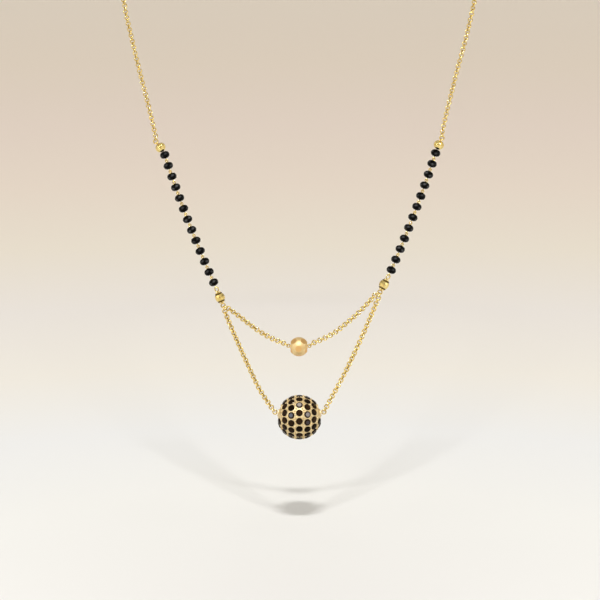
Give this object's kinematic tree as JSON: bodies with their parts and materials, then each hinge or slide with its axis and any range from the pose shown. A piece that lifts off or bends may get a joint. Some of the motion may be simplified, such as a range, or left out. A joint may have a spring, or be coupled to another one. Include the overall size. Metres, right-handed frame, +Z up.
{
  "type": "mangalsutra necklace",
  "caption": "Fine gold chain necklace with black rondelle beads at each side, a swag with a small gold ball and a hanging ball set with black stones.",
  "frame": {"origin": "at the nape, in the middle of the clasp, where the chain lies on the back of the neck", "axes": "+Z up as worn, the wearer faces -Y, +X is the wearer's left and the right of the front view"},
  "size_m": [0.1028, 0.1157, 0.128],
  "materials": {
    "gold_chain": "polished 14 carat yellow gold wire",
    "gold_cut": "diamond-cut yellow gold with bright facets",
    "gold_satin": "softly lensed satin yellow gold",
    "gold_grained": "polished yellow gold raised in small grains between the stones",
    "black_stones": "faceted black stone with a high polish",
    "black_beads": "faceted black stone rondelle with a high polish"
  },
  "bodies": {
    "root": {"neck_chain_left": "gold_chain", "neck_chain_right": "gold_chain", "swag_chain_left": "gold_chain", "swag_chain_right": "gold_chain", "long_chain_left": "gold_chain", "long_chain_right": "gold_chain", "bead_pins_left": "gold_chain", "bead_pins_right": "gold_chain", "junction_pin_left": "gold_chain", "junction_pin_right": "gold_chain", "end_ring_left": "gold_chain", "end_ring_right": "gold_chain", "clasp": "gold_chain", "clasp_ring": "gold_chain", "swag_pin": "gold_chain", "end_bead_left": "gold_cut", "end_bead_right": "gold_cut", "junction_ball_left": "gold_cut", "junction_ball_right": "gold_cut", "swag_ball": "gold_satin", "pave_ball": "gold_grained", "pave_stones": "black_stones", "bead_left_1": "black_beads", "bead_left_2": "black_beads", "bead_left_3": "black_beads", "bead_left_4": "black_beads", "bead_left_5": "black_beads", "bead_left_6": "black_beads", "bead_left_7": "black_beads", "bead_left_8": "black_beads", "bead_left_9": "black_beads", "bead_left_10": "black_beads", "bead_left_11": "black_beads", "bead_left_12": "black_beads", "bead_left_13": "black_beads", "bead_right_1": "black_beads", "bead_right_2": "black_beads", "bead_right_3": "black_beads", "bead_right_4": "black_beads", "bead_right_5": "black_beads", "bead_right_6": "black_beads", "bead_right_7": "black_beads", "bead_right_8": "black_beads", "bead_right_9": "black_beads", "bead_right_10": "black_beads", "bead_right_11": "black_beads", "bead_right_12": "black_beads"}
  },
  "joints": []
}
